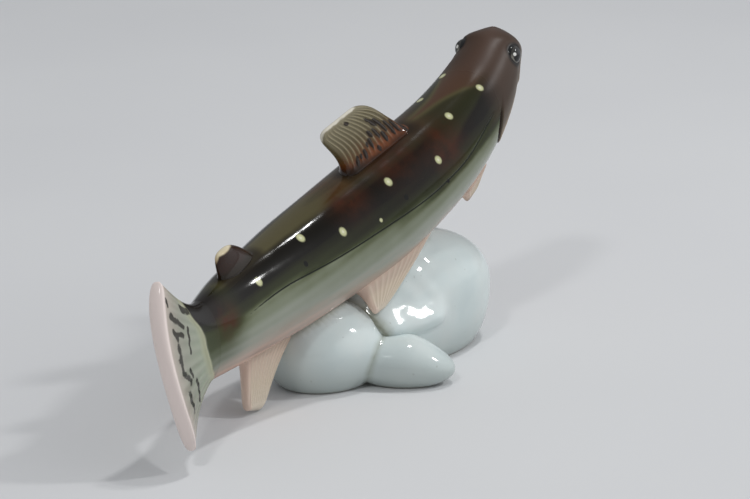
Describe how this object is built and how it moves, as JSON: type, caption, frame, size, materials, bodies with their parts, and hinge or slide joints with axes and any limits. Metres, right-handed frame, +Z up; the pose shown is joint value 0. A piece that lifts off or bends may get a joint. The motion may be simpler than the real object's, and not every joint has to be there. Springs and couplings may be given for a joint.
{
  "type": "fish figurine",
  "caption": "Glazed porcelain trout leaping over a heap of smooth pale stones, a free-standing ornament with luted fins and hollow slip-cast body.",
  "frame": {"origin": "on the surface that the stones stand on, under the middle of the fish, near the middle of the stones' underside", "axes": "+X the way the fish heads, +Y towards its left side, +Z up"},
  "size_m": [0.1442, 0.0436, 0.0799],
  "materials": {
    "trout_glaze": "clear gloss over brown, olive and pale green underglaze paint",
    "tail_glaze": "clear gloss over pale green with dark streaks and a bare pinkish rear edge",
    "dorsal_glaze": "clear gloss over cream rays with dark brown streaks",
    "adipose_glaze": "clear gloss over dark brown with a cream and orange rim",
    "belly_fin_glaze": "clear gloss over pinkish beige with fine rays",
    "eye_glaze": "black gloss with a pale ring",
    "stone_glaze": "pale blue-white clear gloss"
  },
  "bodies": {
    "root": {"body_shell": "trout_glaze", "tail_fin": "tail_glaze", "dorsal_fin": "dorsal_glaze", "adipose_fin": "adipose_glaze", "anal_fin": "belly_fin_glaze", "left_pelvic_fin": "belly_fin_glaze", "right_pelvic_fin": "belly_fin_glaze", "left_pectoral_fin": "belly_fin_glaze", "right_pectoral_fin": "belly_fin_glaze", "left_eye": "eye_glaze", "right_eye": "eye_glaze", "large_boulder": "stone_glaze", "middle_boulder": "stone_glaze", "front_pebble": "stone_glaze"}
  },
  "joints": []
}
